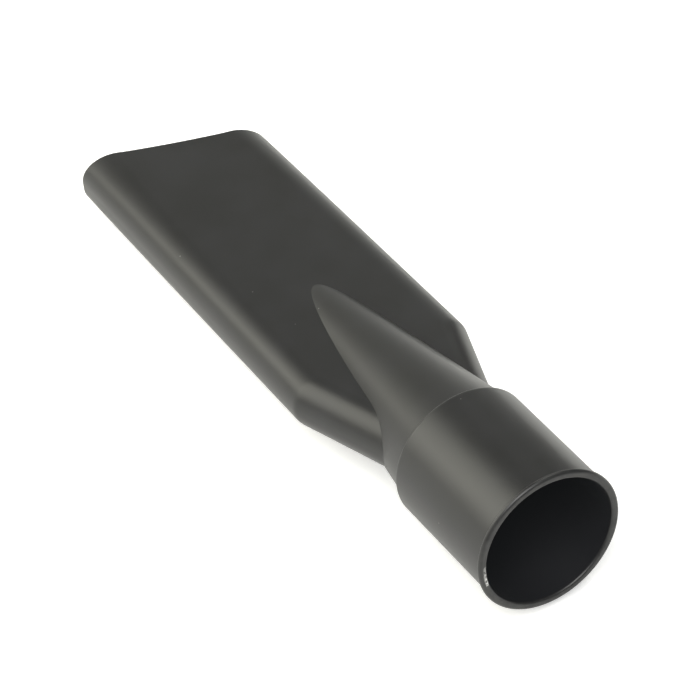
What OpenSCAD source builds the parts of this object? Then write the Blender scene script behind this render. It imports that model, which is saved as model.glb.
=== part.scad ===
// Crevice nozzle for a vacuum cleaner, moulded as one hollow piece.
// A round socket slips over the wand. A tapering neck runs from it into a wide, flat
// blade with full round edges, and the open tip of the blade is cut off at a slant.
// The nozzle is drawn upright in its own frame and then laid down as it comes to rest:
// on the back edge of the socket's collar and on the lower edge of the tip.

/* [Socket] */
// Inner diameter of the socket, which slides over the wand
bore_d = 38; // [34:0.5:42]
// Wall of the collar round the bore
socket_wall = 1.45; // [0.9:0.05:2]
// Length of the collar, from the mouth to the step down to the neck
collar_len = 42; // [30:0.5:50]
// How far the stop for the wand, at the end of the bore, lies in front of that step
stop_ahead = 2.5; // [2:0.1:12]
// Height of the step from the collar down to the neck
collar_step = 1.3; // [0.6:0.05:1.6]
// Bevel on the back edge of the collar
collar_bevel = 0.35; // [0.1:0.05:0.5]
// How far the lip at the mouth stands out from the collar
lip_stand = 0.8; // [0.6:0.05:2]
// Length of the lip along the collar, without its hollow back
lip_len = 1.4; // [1.2:0.1:3]
// Rounding of the lip's two outer edges
lip_round = 0.4; // [0.2:0.05:0.55]
// Radius of the hollow between the lip and the collar, at most what the lip's rounding leaves
lip_hollow = 0.4; // [0.2:0.05:0.8]
// Rounding of the inner edge of the mouth
mouth_round = 0.4; // [0.1:0.05:0.6]

/* [Neck] */
// Distance from the collar to the point where the neck has sunk into the blade
neck_run = 75; // [60:0.5:100]
// Wall of the neck and the blade
body_wall = 1.3; // [1:0.05:2]

/* [Blade] */
// Overall length, from the mouth to the middle of the tip
tool_len = 199; // [160:1:260]
// Distance from the mouth to the shoulders, where the blade is widest
shoulder_at = 82.5; // [76:0.5:100]
// Distance from the mouth to the point where the chamfered shoulders meet the neck
root_at = 52.6; // [48:0.2:64]
// Width at the shoulders
shoulder_w = 54.8; // [46:0.2:70]
// Width at the tip
tip_w = 53; // [44:0.2:70]
// Thickness at the shoulders
shoulder_t = 16.6; // [14:0.2:20]
// Thickness at the tip
tip_t = 18.6; // [14:0.2:22]
// Radius of the blade's long round edges, at most half its thickness
edge_r = 8.2; // [4:0.1:9]
// Radius of the shoulder corners, seen from above
shoulder_r = 6; // [3:0.5:12]
// How far the flat faces sink in along their middle
face_sag = 0.35; // [0.1:0.05:0.6]
// Slant of the tip's cut, seen from above
tip_slant = 18; // [5:0.2:30]

/* [Hidden] */

// Steps in a quarter round, in a shoulder corner and across half a flat face
edge_steps = 9;
corner_steps = 4;
face_steps = 5;
round_steps = 5;
// Sides of the turned collar, neck and bore
turned_sides = 128;
// A full round edge keeps this share of the half thickness, so that a narrow flat is left
round_share = 0.985;
// How far hidden ends run on inside the solid, and how far cuts run past it
overlap = 6;

bore_depth = collar_len - stop_ahead;
bore_r = bore_d / 2;
collar_r = bore_r + socket_wall;
lip_r = collar_r + lip_stand;
hollow_r = min(lip_hollow, lip_stand - lip_round);
neck_r = collar_r - collar_step;
shoulder_half = shoulder_w / 2;
tip_half = tip_w / 2;

// Half thickness of the blade at a distance from the mouth
function half_t(at) =
    at < shoulder_at ? shoulder_t / 2
    : (shoulder_t + (tip_t - shoulder_t) * (at - shoulder_at) / (tool_len - shoulder_at)) / 2;

// The neck is a cone whose side meets the sunken middle of the blade's face at the run-out
run_out = collar_len + neck_run;
neck_slope = (neck_r - half_t(run_out) + face_sag) / neck_run;
function neck_at(at) = neck_r - neck_slope * (at - collar_len);

// Plan of the blade: a side that narrows towards the tip, a chamfer down to the neck and
// a round corner between them. Angles are measured from the nozzle's axis.
side_angle = atan((shoulder_half - tip_half) / (tool_len - shoulder_at));
chamfer_angle = atan((shoulder_half - neck_at(root_at)) / (shoulder_at - root_at));
corner_turn = (side_angle + chamfer_angle) / 2;
corner_lean = (side_angle - chamfer_angle) / 2;
corner_at = shoulder_at - shoulder_r * sin(corner_lean) / cos(corner_turn);
corner_out = shoulder_half - shoulder_r * cos(corner_lean) / cos(corner_turn);

// Stations along the blade as [distance from the mouth, half width], drawn in by inset
root_end = root_at - overlap;
tip_end = tool_len + tip_half * tan(tip_slant) + overlap;
function stations(inset) = concat(
    [[root_end, shoulder_half - (shoulder_at - root_end) * tan(chamfer_angle) - inset / cos(chamfer_angle)]],
    [for (i = [0:corner_steps])
        let (turn = -chamfer_angle + (chamfer_angle + side_angle) * i / corner_steps)
        [corner_at + (shoulder_r - inset) * sin(turn), corner_out + (shoulder_r - inset) * cos(turn)]],
    [[tip_end, shoulder_half - (tip_end - shoulder_at) * tan(side_angle) - inset / cos(side_angle)]]
);

// Ring of points round the blade at one station: four round edges and two sunken faces
function blade_ring(at, half_w, inset) =
    let (
        thick = half_t(at) - inset,
        edge = min(edge_r, round_share * half_t(at)) - inset,
        flat = half_w - edge
    )
    concat(
        edge_points(at, flat, thick - edge, edge, 0),
        face_points(at, flat, thick, 1),
        edge_points(at, -flat, thick - edge, edge, 90),
        edge_points(at, -flat, edge - thick, edge, 180),
        face_points(at, flat, thick, -1),
        edge_points(at, flat, edge - thick, edge, 270)
    );
function edge_points(at, out, up, edge, start) =
    [for (i = [0:edge_steps])
        let (turn = start + 90 * i / edge_steps)
        [up + edge * sin(turn), out + edge * cos(turn), at]];
function face_points(at, flat, thick, side) =
    [for (i = [1 - face_steps:face_steps - 1])
        let (share = -side * i / face_steps)
        [side * (thick - face_sag * (1 - share * share)), flat * share, at]];

// Points of a round, from one angle to another, as [radius, distance from the mouth]
function round_points(middle_r, middle_at, radius, from, to) =
    [for (i = [0:round_steps])
        let (turn = from + (to - from) * i / round_steps)
        [middle_r + radius * cos(turn), middle_at + radius * sin(turn)]];

// Outline of the collar with its lip, and of the neck, turned round the axis
collar_outline = concat(
    [[0, 0]],
    round_points(lip_r - lip_round, lip_round, lip_round, -90, 0),
    round_points(lip_r - lip_round, lip_len - lip_round, lip_round, 0, 90),
    round_points(collar_r + hollow_r, lip_len + hollow_r, hollow_r, 270, 180),
    [[collar_r, collar_len - collar_bevel],
     [collar_r - collar_bevel, collar_len],
     [neck_r, collar_len],
     [neck_at(run_out + overlap), run_out + overlap],
     [0, run_out + overlap]]
);

// Outline of the hollow: rounded mouth, straight bore, stop and neck
bore_outline = concat(
    [[0, -overlap], [bore_r + mouth_round, -overlap]],
    round_points(bore_r + mouth_round, mouth_round, mouth_round, 270, 180),
    [[bore_r, bore_depth],
     [neck_at(bore_depth) - body_wall, bore_depth],
     [neck_at(run_out + overlap) - body_wall, run_out + overlap],
     [0, run_out + overlap]]
);

module turned(outline) {
    rotate_extrude($fn = turned_sides) polygon(outline);
}

// Blade as a loft through its stations, closed at both ends
module blade(inset) {
    rings = [for (s = stations(inset)) blade_ring(s[0], s[1], inset)];
    count = len(rings[0]);
    last = len(rings) - 1;
    polyhedron(
        points = [for (r = rings) each r],
        faces = concat(
            [[for (i = [count - 1:-1:0]) i]],
            [for (k = [0:last - 1])
                for (i = [0:count - 1])
                    let (next = (i + 1) % count)
                    [k * count + i, k * count + next, (k + 1) * count + next, (k + 1) * count + i]],
            [[for (i = [0:count - 1]) last * count + i]]
        )
    );
}

// Everything past the slanted cut at the tip
module past_tip() {
    reach = shoulder_w + tip_t + overlap;
    translate([0, 0, tool_len])
        rotate([-tip_slant, 0, 0])
            translate([-reach, -reach, 0])
                cube([2 * reach, 2 * reach, reach]);
}

// Resting pose. The nozzle stands on its collar's back edge and on both ends of the tip's
// lower edge, so it leans down towards the tip and, because of the slant, a little sideways.
rest_at = collar_len - collar_bevel;
rest_drop = collar_r - tip_t / 2;
rest_slope = rest_drop / (tool_len - rest_at);
blade_flare = (tip_t - shoulder_t) / 2 / (tool_len - shoulder_at);
rest_lean = atan(rest_slope);
rest_roll = -asin(tan(tip_slant) * (rest_slope + blade_flare));
rest_lift = rest_at * sin(rest_lean) + collar_r * cos(rest_lean);

// Ends of the nozzle once it lies down: the lower lip, and the long corner of the tip
tip_edge = min(edge_r, round_share * tip_t / 2);
slant_rise = tan(tip_slant) * cos(rest_lean);
front_end = (lip_r - lip_round) * sin(rest_lean) + lip_round * (1 - cos(rest_lean));
back_end = tool_len * cos(rest_lean) + (tip_half - tip_edge) * slant_rise
    + (tip_t / 2 - tip_edge) * sin(rest_lean) + tip_edge * norm([slant_rise, sin(rest_lean)]);

// Lays the upright nozzle down, mouth towards +X, and centres it over the origin
module at_rest() {
    translate([(back_end - front_end) / 2, 0, rest_lift])
        rotate([rest_roll, -rest_lean, 0])
            rotate([0, -90, 0])
                children();
}

module crevice_tool() {
    color([0.16, 0.16, 0.155])
        at_rest()
            difference() {
                union() {
                    turned(collar_outline);
                    blade(0);
                }
                turned(bore_outline);
                blade(body_wall);
                past_tip();
            }
}

crevice_tool();
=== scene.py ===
# %% [markdown]
# # A vacuum crevice tool
#
# The real thing is one hollow moulding of black polypropylene. A round socket with a lip slips
# over the wand, a conical neck runs from it into a wide flat blade, and the open tip of the blade
# is cut off at a slant. This notebook builds its surface from the tool's own sizes, gives it a
# moulded finish and sets it on a pale floor under soft studio light.

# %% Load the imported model
import math

import bpy
import numpy as np
from mathutils import Euler, Matrix, Vector


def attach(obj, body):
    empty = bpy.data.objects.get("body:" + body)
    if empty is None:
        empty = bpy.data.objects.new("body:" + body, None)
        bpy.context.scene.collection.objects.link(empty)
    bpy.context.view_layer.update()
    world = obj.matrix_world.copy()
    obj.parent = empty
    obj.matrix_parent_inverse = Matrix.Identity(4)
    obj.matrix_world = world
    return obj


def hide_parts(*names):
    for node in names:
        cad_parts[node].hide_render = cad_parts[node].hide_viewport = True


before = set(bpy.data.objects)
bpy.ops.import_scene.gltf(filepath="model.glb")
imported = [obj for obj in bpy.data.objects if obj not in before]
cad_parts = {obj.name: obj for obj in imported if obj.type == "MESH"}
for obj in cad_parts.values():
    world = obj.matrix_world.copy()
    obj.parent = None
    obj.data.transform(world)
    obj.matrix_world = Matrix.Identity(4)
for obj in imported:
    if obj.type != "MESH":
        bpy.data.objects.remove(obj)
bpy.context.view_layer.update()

MM = 0.001
print("nodes:", sorted(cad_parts))

# %% [markdown]
# ## The tool's sizes
#
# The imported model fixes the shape, so the sizes here are the same ones, in millimetres. Distances
# called `at` run along the tool's own axis, from the mouth of the socket to the tip. Across that
# axis, `y` is the wide way of the blade and `x` the thin way.

# %% Sizes of the socket, the neck and the blade
BORE_R = 19.0
COLLAR_LEN = 42.0
STOP_AHEAD = 2.5
BORE_DEPTH = COLLAR_LEN - STOP_AHEAD
SOCKET_WALL = 1.45
COLLAR_R = BORE_R + SOCKET_WALL
COLLAR_BEVEL = 0.35
LIP_STAND = 0.8
LIP_R = COLLAR_R + LIP_STAND
LIP_LEN = 1.4
LIP_ROUND = 0.4
LIP_HOLLOW = 0.4

COLLAR_STEP = 1.3
NECK_R = COLLAR_R - COLLAR_STEP
NECK_RUN = 75
RUN_OUT = COLLAR_LEN + NECK_RUN
WALL = 1.3

TOOL_LEN = 199.0
SHOULDER_AT = 82.5
ROOT_AT = 52.6
SHOULDER_HALF = 27.4
TIP_HALF = 26.5
SHOULDER_THICK = 16.6
TIP_THICK = 18.6
EDGE_R = 8.2
ROUND_SHARE = 0.985
SHOULDER_R = 6.0
FACE_SAG = 0.35
TIP_SLANT = math.radians(18)
print("tool:", TOOL_LEN, "mm long, blade", 2 * SHOULDER_HALF, "mm wide, bore", 2 * BORE_R, "mm")

# %% [markdown]
# ## Sections of the neck and the blade
#
# A loft needs one outline for each place along the axis. The neck's outline is a circle that
# shrinks towards the tip. The blade's is a flat oval: two long faces that sink in a little along
# their middle, and two full round edges. Where both are there, the outer one of the two is the
# surface. They meet in a sharp crease, and one column of points follows it all the way. Cutting
# one body out of another with a boolean would leave long thin faces along that crease, so the
# outlines are worked out as formulas instead.
#
# Near the tip the real round edges grow wider than they are high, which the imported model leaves
# out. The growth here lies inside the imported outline.

# %% Thickness, neck radius and plan of the blade
def half_thickness(at):
    grown = (TIP_THICK - SHOULDER_THICK) * max(0.0, at - SHOULDER_AT) / (TOOL_LEN - SHOULDER_AT)
    return (SHOULDER_THICK + grown) / 2


NECK_SLOPE = (NECK_R - half_thickness(RUN_OUT) + FACE_SAG) / NECK_RUN


def neck_radius(at):
    return NECK_R - NECK_SLOPE * (at - COLLAR_LEN)


SIDE_ANGLE = math.atan((SHOULDER_HALF - TIP_HALF) / (TOOL_LEN - SHOULDER_AT))
CHAMFER_ANGLE = math.atan((SHOULDER_HALF - neck_radius(ROOT_AT)) / (SHOULDER_AT - ROOT_AT))
CORNER_TURN = math.cos((SIDE_ANGLE + CHAMFER_ANGLE) / 2)
CORNER_AT = SHOULDER_AT - SHOULDER_R * math.sin((SIDE_ANGLE - CHAMFER_ANGLE) / 2) / CORNER_TURN
CORNER_OUT = SHOULDER_HALF - SHOULDER_R * math.cos((SIDE_ANGLE - CHAMFER_ANGLE) / 2) / CORNER_TURN


def half_width(at, inset):
    """Half width of the blade in plan, drawn in by inset: chamfer, round shoulder, then the side."""
    radius = SHOULDER_R - inset
    if at < CORNER_AT - radius * math.sin(CHAMFER_ANGLE):
        return SHOULDER_HALF - (SHOULDER_AT - at) * math.tan(CHAMFER_ANGLE) - inset / math.cos(CHAMFER_ANGLE)
    if at < CORNER_AT + radius * math.sin(SIDE_ANGLE):
        return CORNER_OUT + math.sqrt(radius**2 - (at - CORNER_AT) ** 2)
    return SHOULDER_HALF - (at - SHOULDER_AT) * math.tan(SIDE_ANGLE) - inset / math.cos(SIDE_ANGLE)


print("neck tapers by", round(NECK_SLOPE, 4), "mm in each mm")
print("chamfer at", round(math.degrees(CHAMFER_ANGLE), 1), "degrees")

# %% One quarter of a section, and the whole of it
OUTLINE_SAMPLES = 120
BLADE_COLUMNS = 28
NECK_COLUMNS = 20
QUARTER_COLUMNS = BLADE_COLUMNS + NECK_COLUMNS
COLUMNS = 4 * QUARTER_COLUMNS
ANGLE_SAMPLES = 4 * OUTLINE_SAMPLES
TURN_WEIGHT = 5.0
EDGE_GROWTH = 1.8
GROWTH_POWER = 4


def blade_quarter(at, inset):
    """Outline of a quarter of the blade, from its side edge up to the middle of its face."""
    thick = half_thickness(at) - inset
    edge = min(EDGE_R, ROUND_SHARE * half_thickness(at)) - inset
    along_blade = max(0.0, (at - SHOULDER_AT) / (TOOL_LEN - SHOULDER_AT))
    wide = edge + EDGE_GROWTH * along_blade**GROWTH_POWER
    flat = half_width(at, inset) - wide
    turn = np.linspace(0, math.pi / 2, OUTLINE_SAMPLES)
    across = flat * np.linspace(1, 0, OUTLINE_SAMPLES)[1:]
    y = np.concatenate([[flat + wide], flat + wide * np.cos(turn), across])
    sunk = thick - FACE_SAG * (1 - (across / flat) ** 2)
    x = np.concatenate([[0], thick - edge + edge * np.sin(turn), sunk])
    return y, x


def spread(y, x, count):
    """Picks count + 1 points along an outline, closer together where it turns."""
    step = np.hypot(np.diff(y), np.diff(x))
    heading = np.unwrap(np.arctan2(np.diff(x), np.diff(y)))
    turned = np.concatenate([[0], np.abs(np.diff(heading))])
    along = np.concatenate([[0], np.cumsum(step + TURN_WEIGHT * turned)])
    wanted = np.linspace(0, along[-1], count + 1)
    return np.interp(wanted, along, y), np.interp(wanted, along, x)


def whole(y, x):
    """Mirrors a quarter outline into a closed one."""
    half_y = np.concatenate([y, -y[-2::-1]])
    half_x = np.concatenate([x, x[-2::-1]])
    return np.concatenate([half_y, half_y[-2:0:-1]]), np.concatenate([half_x, -half_x[-2:0:-1]])


EVEN_SPLIT = math.pi / 2 * BLADE_COLUMNS / QUARTER_COLUMNS
LEAST_SPLIT = math.radians(4)
# Past the neck's end the columns from the creases open out again. These are half the gap between
# the two on one face: at the neck's end, its growth in each mm, and the most it comes to, in mm.
OPEN_START = 1.2
OPEN_RATE = 1.5
OPEN_MOST = 13.0


def crease(at, inset):
    """Angle round the axis at which the neck's circle meets the blade's outline."""
    y, x = blade_quarter(at, inset)
    return np.interp(inset - neck_radius(at), -np.hypot(y, x), np.arctan2(x, y), 0, math.pi / 2)


def split(at, inset):
    """Angle of the column that keeps to the crease. It runs on evenly where there is no crease."""
    before = EVEN_SPLIT * min(1, max(0, (ROOT_AT - at) / (ROOT_AT - COLLAR_LEN)))
    opened = min(OPEN_MOST, OPEN_START + OPEN_RATE * max(0, at - RUN_OUT))
    past = math.atan2(half_thickness(at) - inset, opened)
    return min(max(crease(at, inset), before, LEAST_SPLIT), past)


def body_section(at, inset):
    """Neck and blade together, as points [y, x] round the axis."""
    y, x = blade_quarter(at, inset)
    neck = neck_radius(at) - inset
    corner = split(at, inset)
    low = np.linspace(0, corner, ANGLE_SAMPLES)
    high = np.linspace(corner, math.pi / 2, ANGLE_SAMPLES)
    halves = []
    for angle, count in ((low, BLADE_COLUMNS), (high, NECK_COLUMNS)):
        radius = np.maximum(neck, np.interp(angle, np.arctan2(x, y), np.hypot(y, x)))
        halves.append(spread(radius * np.cos(angle), radius * np.sin(angle), count))
    (low_y, low_x), (high_y, high_x) = halves
    quarter = np.concatenate([low_y, high_y[1:]]), np.concatenate([low_x, high_x[1:]])
    return np.stack(whole(*quarter), axis=1)


print("columns round a section:", len(body_section(90, 0)))

# %% [markdown]
# ## Rows along the tool
#
# The moulding is one closed skin. It starts at the mouth, runs over the lip and along the outside
# to the tip, turns round the cut edge there and comes back along the inside to the socket. So it
# can be one grid of rows and columns that closes on itself both ways, with no seam, hole or
# overlap. Rows lie close together where the shape turns and far apart where it runs straight.
#
# The real lip and the back edge of the collar are rounded off more softly than in the packed
# model. Those roundings catch the light as thin bright lines, so they are drawn here as they are.

# %% Rows of the turned socket
ROUND_STEPS = 8
LIP_FRONT_ROUND = 0.9
MOUTH_ROUND = 0.75
BACK_ROUND = 0.5
STEP_FILLET = 0.15
COLLAR_ATS = (2.1, 3, 6, 12, 18, 24, 30, 36, 40, 41)


def ring(radius, at):
    angle = np.arange(COLUMNS) * 2 * math.pi / COLUMNS
    return np.stack([radius * np.cos(angle), radius * np.sin(angle), np.full(COLUMNS, at)], axis=1)


def arc(middle_r, middle_at, radius, start, end):
    turns = np.radians(np.linspace(start, end, ROUND_STEPS + 1))
    return [ring(middle_r + radius * math.cos(t), middle_at + radius * math.sin(t)) for t in turns]


lip_rows = (
    arc(LIP_R - LIP_FRONT_ROUND, LIP_FRONT_ROUND, LIP_FRONT_ROUND, -90, 0)
    + arc(LIP_R - LIP_ROUND, LIP_LEN - LIP_ROUND, LIP_ROUND, 0, 90)
    + arc(COLLAR_R + LIP_HOLLOW, LIP_LEN + LIP_HOLLOW, LIP_HOLLOW, 270, 180)
)
collar_rows = [ring(COLLAR_R, at) for at in COLLAR_ATS]
back_rows = arc(COLLAR_R - BACK_ROUND, COLLAR_LEN - BACK_ROUND, BACK_ROUND, 0, 90) + arc(
    NECK_R + STEP_FILLET, COLLAR_LEN + STEP_FILLET, STEP_FILLET, 270, 180
)
print("rows of the socket's outside:", len(lip_rows) + len(collar_rows) + len(back_rows))

# %% Rows of the neck, the blade and the slanted tip
SLANT_FROM = 126.0
LOOK_AHEAD = 1.0
TIP_ROUND = 0.3
TIP_INNER_ROUND = 0.2
OUTER_BEFORE_CUT = (1.6, 0.8, 0.45)
INNER_BEFORE_CUT = (0.4, 0.9, 2)


def stations(*runs):
    """Distances along the axis, from runs of [start, end, spacing]."""
    return np.concatenate([np.arange(start, end - spacing / 2, spacing) for start, end, spacing in runs])


def slanted(at, inset, before_cut=0.0):
    """A row of neck and blade. Past SLANT_FROM it leans over until it lies in the cut of the tip."""
    lean = min(1.0, max(0.0, (at - SLANT_FROM) / (TOOL_LEN - SLANT_FROM)))
    middle = body_section(at, inset)
    shift = -lean * math.tan(TIP_SLANT) * middle[:, 0] - before_cut
    ahead = body_section(at + LOOK_AHEAD, inset)
    points = middle + (ahead - middle) * shift[:, None] / LOOK_AHEAD
    return np.column_stack([points, at + shift])


outer_ats = stations(
    (COLLAR_LEN + 0.4, 52, 1.5),
    (52, 60, 0.4),
    (60, 80, 0.8),
    (80, 87, 0.5),
    (87, 112, 1),
    (112, 115, 0.5),
    (115, 117.4, 0.2),
    (117.4, 126, 1),
    (126, 197, 3.5),
)
outer_rows = [slanted(at, 0) for at in outer_ats]
outer_rows += [slanted(TOOL_LEN, 0, before) for before in OUTER_BEFORE_CUT]
tip_rows = []
for turn in np.radians(np.linspace(0, 90, ROUND_STEPS + 1)):
    inset = TIP_ROUND * (1 - math.cos(turn))
    tip_rows.append(slanted(TOOL_LEN, inset, TIP_ROUND * (1 - math.sin(turn))))
for turn in np.radians(np.linspace(90, 0, ROUND_STEPS + 1)):
    inset = WALL - TIP_INNER_ROUND * (1 - math.cos(turn))
    tip_rows.append(slanted(TOOL_LEN, inset, TIP_INNER_ROUND * (1 - math.sin(turn))))
inner_rows = [slanted(TOOL_LEN, WALL, before) for before in INNER_BEFORE_CUT]
inner_ats = stations(
    (41, 50, 1.5), (50, 60, 0.8), (60, 80, 1.2), (80, 87, 0.7), (87, 123, 1.5), (123, 196, 5)
)
inner_rows += [slanted(at, WALL) for at in inner_ats[::-1]]
print("rows outside, round the tip, inside:", len(outer_rows), len(tip_rows), len(inner_rows))

# %% Rows of the stop and the bore
BORE_ATS = (39, 34, 28, 22, 16, 10, 5, 2, 1)
STOP_LEAD = 0.3
STOP_CORNER = 0.05
stop_r = neck_radius(BORE_DEPTH) - WALL
stop_rows = [ring(stop_r, BORE_DEPTH + STOP_LEAD)]
stop_rows += arc(stop_r + STEP_FILLET, BORE_DEPTH + STEP_FILLET, STEP_FILLET, 180, 270)
stop_rows += [ring(BORE_R - STOP_CORNER, BORE_DEPTH), ring(BORE_R, BORE_DEPTH - STOP_CORNER)]
bore_rows = [ring(BORE_R, at) for at in BORE_ATS]
mouth_rows = arc(BORE_R + MOUTH_ROUND, MOUTH_ROUND, MOUTH_ROUND, 180, 270)
outside = lip_rows + collar_rows + back_rows + outer_rows
inside = inner_rows + stop_rows + bore_rows
skin = np.array(outside + tip_rows + inside + mouth_rows)
print("the skin's grid:", skin.shape[0], "rows of", skin.shape[1], "points")

# %% [markdown]
# ## Laying the tool down
#
# Left alone on a table, the tool rests on the back edge of its collar and on the two ends of the
# tip's lower edge. It leans down towards the tip and, because the tip is slanted, rolls a little
# to one side. The angles follow from the sizes, and so does the place of the origin: under the
# middle of the tool's box, on the table.

# %% Resting pose
contact_at = COLLAR_LEN - COLLAR_BEVEL
rest_slope = (COLLAR_R - TIP_THICK / 2) / (TOOL_LEN - contact_at)
flare = (TIP_THICK - SHOULDER_THICK) / 2 / (TOOL_LEN - SHOULDER_AT)
lean = math.atan(rest_slope)
roll = -math.asin(math.tan(TIP_SLANT) * (rest_slope + flare))
lift = contact_at * math.sin(lean) + COLLAR_R * math.cos(lean)
tip_edge = min(EDGE_R, ROUND_SHARE * TIP_THICK / 2)
slant_rise = math.tan(TIP_SLANT) * math.cos(lean)
front_end = (LIP_R - LIP_ROUND) * math.sin(lean) + LIP_ROUND * (1 - math.cos(lean))
back_end = (
    TOOL_LEN * math.cos(lean)
    + (TIP_HALF - tip_edge) * slant_rise
    + (TIP_THICK / 2 - tip_edge) * math.sin(lean)
    + tip_edge * math.hypot(slant_rise, math.sin(lean))
)
lie_down = (
    Matrix.Translation(Vector(((back_end - front_end) / 2, 0, lift)) * MM)
    @ Matrix.Rotation(-lean, 4, "Y")
    @ Matrix.Rotation(roll, 4, "X")
    @ Matrix.Rotation(math.radians(-90), 4, "Y")
)
print("lean", round(math.degrees(lean), 2), "degrees, roll", round(math.degrees(roll), 2), "degrees")

# %% [markdown]
# ## The skin
#
# Each face joins two neighbours in one row to the same two in the next row. The whole skin is
# shaded smooth, because the rows and columns are fine enough for it. Only the edges along the
# crease between neck and blade are marked sharp, since smooth shading would wash it out.

# %% The skin as a mesh
row_count, column_count = skin.shape[:2]
skin_points = np.stack([skin[..., 1], skin[..., 0], skin[..., 2]], axis=-1).reshape(-1, 3) * MM
row_index = np.arange(row_count)[:, None] * column_count
next_row = (np.arange(row_count)[:, None] + 1) % row_count * column_count
column = np.arange(column_count)[None, :]
next_column = (column + 1) % column_count
quads = np.stack(
    [row_index + column, next_row + column, next_row + next_column, row_index + next_column], axis=-1
).reshape(-1, 4)
tool_mesh = bpy.data.meshes.new("crevice_tool_skin")
tool_mesh.from_pydata(skin_points.tolist(), [], quads.tolist())
tool_mesh.transform(lie_down)
tool_mesh.shade_smooth()
tool = bpy.data.objects.new("crevice_tool_skin", tool_mesh)
bpy.context.scene.collection.objects.link(tool)
corners = np.array([v.co for v in tool_mesh.vertices]) / MM
print("faces:", len(tool_mesh.polygons))
print("box in mm:", corners.min(0).round(3), corners.max(0).round(3))

# %% The crease between neck and blade
crease_columns = [BLADE_COLUMNS, 2 * QUARTER_COLUMNS - BLADE_COLUMNS]
crease_columns += [2 * QUARTER_COLUMNS + BLADE_COLUMNS, COLUMNS - BLADE_COLUMNS]
first_outer = len(lip_rows) + len(collar_rows) + len(back_rows)
on_crease = np.zeros((row_count, column_count), bool)
for index, at in enumerate(outer_ats):
    on_crease[first_outer + index, crease_columns] = ROOT_AT < at < RUN_OUT
edge_ends = np.zeros(2 * len(tool_mesh.edges), int)
tool_mesh.edges.foreach_get("vertices", edge_ends)
edge_ends = edge_ends.reshape(-1, 2)
same_column = edge_ends[:, 0] % column_count == edge_ends[:, 1] % column_count
sharp = on_crease.ravel()[edge_ends].all(axis=1) & same_column
tool_mesh.attributes.new("sharp_edge", "BOOLEAN", "EDGE").data.foreach_set("value", sharp)
print("sharp edges along the crease:", int(sharp.sum()))

# %% [markdown]
# ## Where the tool is worn
#
# A tool like this is pushed on and off a wand and scraped along skirting boards, so its edges are
# rubbed first: the mouth's lip, the collar's back edge and the cut of the tip. The mouth's inner
# edge also has one short white nick, which grows whiter downwards. Its white is partly torn
# plastic and partly a painted glint. A shader could find edges by their curvature, but the rows
# already say where each edge is. So two numbers are stored with the points, one for the wear and
# one for the nick with its painted glint, and the material reads them by name.

# %% Wear stored with the points
BACK_WEAR = 0.6
CUT_WEAR = 0.8
# The nick on the mouth's inner edge: its white is partly torn plastic, partly a painted glint.
NICK_AND_GLINT_ROWS = 3
NICK_AND_GLINT_START = 94
NICK_AND_GLINT_COLUMNS = 10
NICK_AND_GLINT_FAINTEST = 0.3
edge_rows = ROUND_STEPS + 1
first_back = len(lip_rows) + len(collar_rows)
first_cut = first_outer + len(outer_rows)
row_wear = np.zeros(row_count)
row_wear[:edge_rows] = np.linspace(1, 0, edge_rows)
row_wear[-edge_rows:] = np.linspace(0, 1, edge_rows)
row_wear[first_back : first_back + edge_rows] = BACK_WEAR
row_wear[first_cut : first_cut + edge_rows] = CUT_WEAR
nick_and_glint_grid = np.zeros((row_count, column_count))
nick_and_glint_ramp = np.linspace(NICK_AND_GLINT_FAINTEST, 1, NICK_AND_GLINT_COLUMNS)
nick_and_glint_grid[-NICK_AND_GLINT_ROWS:, NICK_AND_GLINT_START : NICK_AND_GLINT_START + NICK_AND_GLINT_COLUMNS] = nick_and_glint_ramp
for name, levels in (("wear", np.repeat(row_wear, column_count)), ("nick_and_glint", nick_and_glint_grid.ravel())):
    tool_mesh.attributes.new(name, "FLOAT", "POINT").data.foreach_set("value", levels)
print("rows with worn edges:", int((row_wear > 0).sum()), "nicked points:", int((nick_and_glint_grid > 0).sum()))

# %% [markdown]
# ## Helpers for the finishes
#
# Colours are written as the sRGB hex values that a paint program shows, and one function turns
# them to the linear values that a shader works in. A second one adds a node to a material with
# its settings and links in one go.

# %% Colour and node helpers
def linear(hex_colour):
    channels = [int(hex_colour[i : i + 2], 16) / 255 for i in (1, 3, 5)]
    return [c / 12.92 if c <= 0.04045 else ((c + 0.055) / 1.055) ** 2.4 for c in channels] + [1.0]


def add_node(tree, kind, settings=None, **inputs):
    """Adds a node. Settings are its own properties. An input is a value or a socket to link.

    Inputs go by name, with _ for a space, or by number, as in _0, where two share a name.
    """
    node = tree.nodes.new(kind)
    for name, value in (settings or {}).items():
        setattr(node, name, value)
    for name, value in inputs.items():
        key = int(name[1:]) if name[1:].isdigit() else name.replace("_", " ")
        if isinstance(value, bpy.types.NodeSocket):
            tree.links.new(value, node.inputs[key])
        else:
            node.inputs[key].default_value = value
    return node


def new_material(name):
    material = bpy.data.materials.new(name)
    material.use_nodes = True
    material.node_tree.nodes.clear()
    return material, material.node_tree


print("the plastic's darkest tone in linear light:", [round(c, 4) for c in linear("#292929")])

# %% [markdown]
# ## Moulded black polypropylene
#
# The tool is injection moulded in black polypropylene, in a steel mould with a fine spark eroded
# grain. That gives the eye a satin black. It is too rough for a mirror image, but it keeps a clear
# sheen that grows strong where the surface turns away.
#
# Carbon black is mixed through the plastic, so its colour hardly varies. What breaks it up is use:
# faint clouds from handling, edges rubbed a little paler and smoother, a few pale specks of dust,
# and the white of torn plastic in the nick, which also carries a painted glint. Each of these is a
# noise at its own size, mixed over the one below it.

# %% The moulded plastic, its clouds and its grain
PLASTIC_IOR = 1.49
CLOUD_MM = 16.0
CLOUD_ROUGHNESS = (0.36, 0.38)
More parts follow.
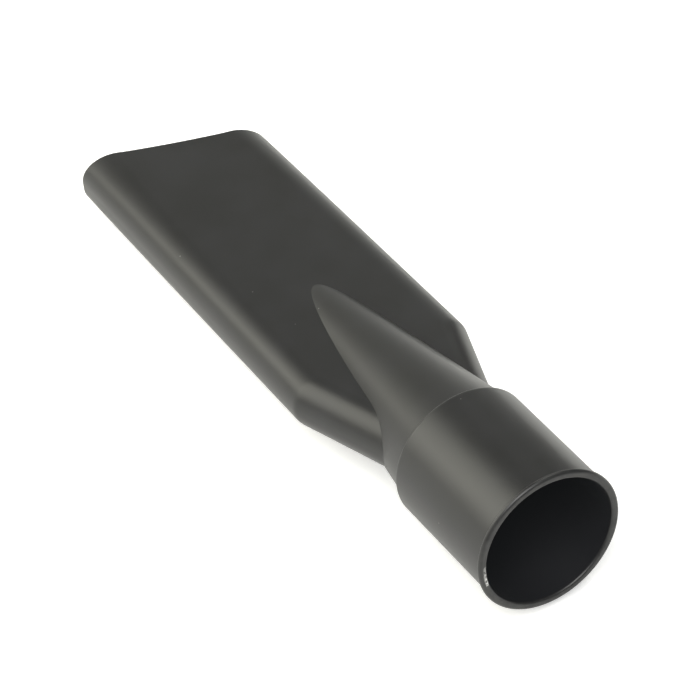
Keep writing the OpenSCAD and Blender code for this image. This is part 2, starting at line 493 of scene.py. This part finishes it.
# Most of a noise's values lie between these two, and they are spread over the full range.
NOISE_LOW = 0.35
NOISE_HIGH = 0.65
NOISE_ROUGHNESS = 0.6
# The real grain is about a tenth of a millimetre wide. That is finer than the render shows, so it
# is drawn coarser, at a width that still reads as a fine grain.
GRAIN_MM = 0.45
GRAIN_DEPTH_MM = 0.004
GRAIN_STRENGTH = 0.25

black_plastic, tree = new_material("moulded_black_polypropylene")
place = add_node(tree, "ShaderNodeTexCoord").outputs["Object"]
clouds = add_node(
    tree,
    "ShaderNodeTexNoise",
    Vector=place,
    Scale=1 / (CLOUD_MM * MM),
    Detail=4.0,
    Roughness=NOISE_ROUGHNESS,
).outputs["Fac"]
cloud_range = {"Value": clouds, "From Min": NOISE_LOW, "From Max": NOISE_HIGH}
tone = add_node(tree, "ShaderNodeMapRange", **cloud_range).outputs["Result"]
colour = add_node(
    tree, "ShaderNodeMix", {"data_type": "RGBA"}, _0=tone, _6=linear("#292929"), _7=linear("#2c2c2d")
).outputs[2]
smoothest, roughest = CLOUD_ROUGHNESS
roughness = add_node(
    tree, "ShaderNodeMapRange", **cloud_range, **{"To Min": smoothest, "To Max": roughest}
).outputs["Result"]
grain = add_node(
    tree, "ShaderNodeTexNoise", Vector=place, Scale=1 / (GRAIN_MM * MM), Detail=2.0, Roughness=NOISE_ROUGHNESS
).outputs["Fac"]
bump = add_node(
    tree, "ShaderNodeBump", Height=grain, Strength=GRAIN_STRENGTH, Distance=GRAIN_DEPTH_MM * MM
)
print("cloud to cloud:", CLOUD_MM, "mm, grain:", GRAIN_MM, "mm wide and", GRAIN_DEPTH_MM, "mm deep")

# %% Rubbed edges
# Rubbing comes in patches of a few millimetres. It takes the grain's tops off, which makes the
# plastic a little paler and smoother.
RUB_MM = 3.0
RUB_SMOOTHS = 0.06
RUB_LEAST = 0.25
RUB_FULL_FROM = 0.6
stored_wear = add_node(tree, "ShaderNodeAttribute", {"attribute_name": "wear"}).outputs["Fac"]
patches = add_node(
    tree, "ShaderNodeTexNoise", Vector=place, Scale=1 / (RUB_MM * MM), Detail=3.0, Roughness=NOISE_ROUGHNESS
).outputs["Fac"]
patchy = add_node(
    tree,
    "ShaderNodeMapRange",
    **{"Value": patches, "From Min": NOISE_LOW, "From Max": RUB_FULL_FROM, "To Min": RUB_LEAST},
).outputs["Result"]
rubbed = add_node(
    tree, "ShaderNodeMath", {"operation": "MULTIPLY"}, _0=stored_wear, _1=patchy
).outputs["Value"]
colour = add_node(
    tree, "ShaderNodeMix", {"data_type": "RGBA"}, _0=rubbed, _6=colour, _7=linear("#3c3c3b")
).outputs[2]
roughness = add_node(
    tree, "ShaderNodeMath", {"operation": "MULTIPLY_ADD"}, _0=rubbed, _1=-RUB_SMOOTHS, _2=roughness
).outputs["Value"]
print("rubbed patches:", RUB_MM, "mm")

# %% Specks of dust, and the white nick with its painted glint
# Each cell of a Voronoi pattern has one centre, and a speck is what lies close enough to it.
SPECK_EVERY_MM = 9.0
SPECK_MM = 0.45
SPECK_COVERS = 0.7
# A speck covers the plastic fully out to this share of its radius and fades from there.
SPECK_CORE = 0.5
TEAR_MM = 0.6
TEAR_FROM = 0.38
TEAR_FULL_FROM = 0.5
# A speck's radius, as a share of a cell's width.
speck_edge = SPECK_MM / 2 / SPECK_EVERY_MM
cells = add_node(tree, "ShaderNodeTexVoronoi", Vector=place, Scale=1 / (SPECK_EVERY_MM * MM))
specks = add_node(
    tree,
    "ShaderNodeMapRange",
    **{
        "Value": cells.outputs["Distance"],
        "From Min": SPECK_CORE * speck_edge,
        "From Max": speck_edge,
        "To Min": SPECK_COVERS,
        "To Max": 0.0,
    },
).outputs["Result"]
colour = add_node(
    tree, "ShaderNodeMix", {"data_type": "RGBA"}, _0=specks, _6=colour, _7=linear("#8a8a86")
).outputs[2]
stored_nick_and_glint = add_node(tree, "ShaderNodeAttribute", {"attribute_name": "nick_and_glint"}).outputs["Fac"]
tears = add_node(
    tree, "ShaderNodeTexNoise", Vector=place, Scale=1 / (TEAR_MM * MM), Detail=2.0, Roughness=NOISE_ROUGHNESS
).outputs["Fac"]
ragged = add_node(
    tree, "ShaderNodeMapRange", **{"Value": tears, "From Min": TEAR_FROM, "From Max": TEAR_FULL_FROM}
).outputs["Result"]
torn_and_glint = add_node(
    tree, "ShaderNodeMath", {"operation": "MULTIPLY"}, _0=stored_nick_and_glint, _1=ragged
).outputs["Value"]
# The nick's white: torn plastic, brightened to near white as a painted glint.
colour = add_node(
    tree, "ShaderNodeMix", {"data_type": "RGBA"}, _0=torn_and_glint, _6=colour, _7=linear("#fafaf6")
).outputs[2]
print("specks:", SPECK_MM, "mm across, one in each", SPECK_EVERY_MM, "mm cell")

# %% The plastic's shader
plastic = add_node(
    tree,
    "ShaderNodeBsdfPrincipled",
    Base_Color=colour,
    Roughness=roughness,
    IOR=PLASTIC_IOR,
    Normal=bump.outputs["Normal"],
)
add_node(tree, "ShaderNodeOutputMaterial", Surface=plastic.outputs["BSDF"])
tool_mesh.materials.append(black_plastic)
print("plastic: IOR", PLASTIC_IOR, "nodes", len(tree.nodes))

# %% [markdown]
# ## The inside
#
# The hollow is shaped by a core, a steel bar that is ground smooth so that the tool slides off it.
# The inside has no grain from the mould, and no light from outside reaches far into it. Its colour
# is the same plastic painted darker, as painted shade, for a deep, even black. Even that black
# isn't a zero, because a little light always scatters in a lens. A faint painted glow of the
# surface stands for that veil.

# %% The inside, painted darker, with a painted glow
INSIDE_ROUGHNESS = 0.5
PAINTED_VEIL_GLOW = 0.006
SCUFF_MM = 5.0

inside_painted_shade, tree = new_material("polypropylene_inside_painted_darker")
place = add_node(tree, "ShaderNodeTexCoord").outputs["Object"]
scuffs = add_node(
    tree, "ShaderNodeTexNoise", Vector=place, Scale=1 / (SCUFF_MM * MM), Detail=3.0, Roughness=NOISE_ROUGHNESS
).outputs["Fac"]
# The inside's tones are the plastic painted darker: painted shade.
colour = add_node(
    tree, "ShaderNodeMix", {"data_type": "RGBA"}, _0=scuffs, _6=linear("#17171a"), _7=linear("#1b1b1d")
).outputs[2]
# The emission is a painted glow that lifts the inside's black.
plastic = add_node(
    tree,
    "ShaderNodeBsdfPrincipled",
    Base_Color=colour,
    Roughness=INSIDE_ROUGHNESS,
    IOR=PLASTIC_IOR,
    Emission_Color=linear("#e4eef4"),
    Emission_Strength=PAINTED_VEIL_GLOW,
)
add_node(tree, "ShaderNodeOutputMaterial", Surface=plastic.outputs["BSDF"])
tool_mesh.materials.append(inside_painted_shade)
face_rows = np.repeat(np.arange(row_count), column_count)
first_inner = len(outside) + len(tip_rows)
is_inside = (face_rows >= first_inner) & (face_rows < row_count - len(mouth_rows))
tool_mesh.polygons.foreach_set("material_index", is_inside.astype(int))
print("inner faces:", int(is_inside.sum()))

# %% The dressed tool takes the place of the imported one
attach(tool, "root")
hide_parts("crevice_tool")
print("dressed:", tool.name)

# %% [markdown]
# ## Floor and studio light
#
# The tool was photographed on white paper in a white room. The floor is that sheet of paper, at
# the height that the tool rests on. Besides the lamps, the room's own white walls light it evenly
# from all sides. A ring of real walls would cost render time, so the paper glows a little
# instead. It glows a bit more to the camera alone, so that it shows white there and only the
# deepest part of the tool's shadow stays.

# %% Floor
FLOOR_SIZE = 6.0
FLOOR_SIDES = 96
GLOW_ROUND = 0.19
GLOW_SEEN = 0.3
bpy.ops.mesh.primitive_circle_add(
    vertices=FLOOR_SIDES, radius=FLOOR_SIZE / 2, fill_type="NGON", location=(0, 0, 0)
)
floor = bpy.context.object
floor.name = "studio_floor"
matt_paper, tree = new_material("matt_white_background_paper")
paper = add_node(tree, "ShaderNodeBsdfDiffuse", Color=linear("#e6e6e4"))
seen = add_node(tree, "ShaderNodeLightPath").outputs["Is Camera Ray"]
level = add_node(
    tree, "ShaderNodeMath", {"operation": "MULTIPLY_ADD"}, _0=seen, _1=GLOW_SEEN, _2=GLOW_ROUND
)
glow = add_node(tree, "ShaderNodeEmission", Color=linear("#ffffff"), Strength=level.outputs["Value"])
both = add_node(tree, "ShaderNodeAddShader", _0=paper.outputs["BSDF"], _1=glow.outputs["Emission"])
add_node(tree, "ShaderNodeOutputMaterial", Surface=both.outputs["Shader"])
floor.data.materials.append(matt_paper)
print("floor", FLOOR_SIZE, "m across")

# %% [markdown]
# ## The lamps
#
# A satin black surface shows little of its own colour. What the eye reads as its shape is the
# lamps' faces, blurred in its sheen, so each lamp has its job:
#
# - the key soft box, near the tool on the left, gives the broad sheen down the collar and the
#   blade's left edge,
# - the low panel on the same side lights the left flanks close to the floor,
# - the weak back panel, behind the tip, lies over the top of the neck and the blade as a faint
#   sheen,
# - the large top box lights the paper and the upper faces,
# - the paper lamp hangs over the paper at the tool's far side, and the bright patch it makes
#   there is what the blade's right edge mirrors.

# %% World and lamps
ROOM_LEVEL = 0.03
PAPER_LAMP_MOVE = Vector((-0.12, 0.32, 0))
PAPER_LAMP_SPREAD = math.radians(90)

world = bpy.data.worlds.new("studio")
bpy.context.scene.world = world
world.use_nodes = True
world.node_tree.nodes.clear()
tree = world.node_tree
room = add_node(tree, "ShaderNodeBackground", Color=linear("#ffffff"), Strength=ROOM_LEVEL)
backdrop = add_node(tree, "ShaderNodeBackground", Color=linear("#ffffff"), Strength=1.0)
seen = add_node(tree, "ShaderNodeLightPath")
sky = add_node(
    tree,
    "ShaderNodeMixShader",
    _0=seen.outputs["Is Camera Ray"],
    _1=room.outputs["Background"],
    _2=backdrop.outputs["Background"],
)
add_node(tree, "ShaderNodeOutputWorld", Surface=sky.outputs["Shader"])


def soft_box(name, direction, distance, width, height, radiance, colour):
    """A flat lamp that faces the tool. Its radiance is how bright its own face is."""
    lamp = bpy.data.lights.new(name, "AREA")
    lamp.shape = "RECTANGLE"
    lamp.size = width
    lamp.size_y = height
    lamp.color = linear(colour)[:3]
    lamp.energy = radiance * math.pi * width * height
    body = bpy.data.objects.new(name, lamp)
    bpy.context.scene.collection.objects.link(body)
    towards = Vector(direction).normalized()
    body.location = towards * distance
    body.rotation_euler = towards.to_track_quat("Z", "Y").to_euler()
    print(name, "gives", round(lamp.energy, 1), "W")
    return body


soft_box("key_soft_box", (-0.382, -0.643, 0.664), 0.6, 0.49, 0.46, 3.97, "#fefdef")
soft_box("low_panel", (-0.850, -0.467, 0.246), 1.81, 4.0, 0.51, 2.12, "#fefdef")
soft_box("back_panel", (-0.823, 0.534, 0.191), 1.21, 0.7, 0.44, 0.79, "#fefff7")
soft_box("top_soft_box", (0.45, -0.25, 0.86), 2.2, 1.4, 1.4, 6.55, "#ffffff")
paper_lamp = soft_box("paper_lamp", (0, 0, 1), 0.45, 0.3, 0.3, 3.94, "#fefff7")
paper_lamp.location += PAPER_LAMP_MOVE
paper_lamp.data.spread = PAPER_LAMP_SPREAD

# %% [markdown]
# ## Camera
#
# The photograph looks down at the tool from in front of the mouth, from a little under a metre
# away, with a long lens. So the mouth looks hardly larger than it would from far off.

# %% Camera
SENSOR = 36.0
LENS = 174.46
CAMERA_AT = (0.6001, -0.3193, 0.6536)
CAMERA_TURN = (46.464, 3.288, 58.722)
camera_data = bpy.data.cameras.new("camera")
camera_data.sensor_width = SENSOR
camera_data.lens = LENS
camera = bpy.data.objects.new("camera", camera_data)
bpy.context.scene.collection.objects.link(camera)
camera.location = CAMERA_AT
camera.rotation_euler = Euler([math.radians(degrees) for degrees in CAMERA_TURN])
bpy.context.scene.camera = camera
bpy.context.scene.view_settings.view_transform = "Standard"
print("camera", round(camera.location.length, 3), "m from the origin")
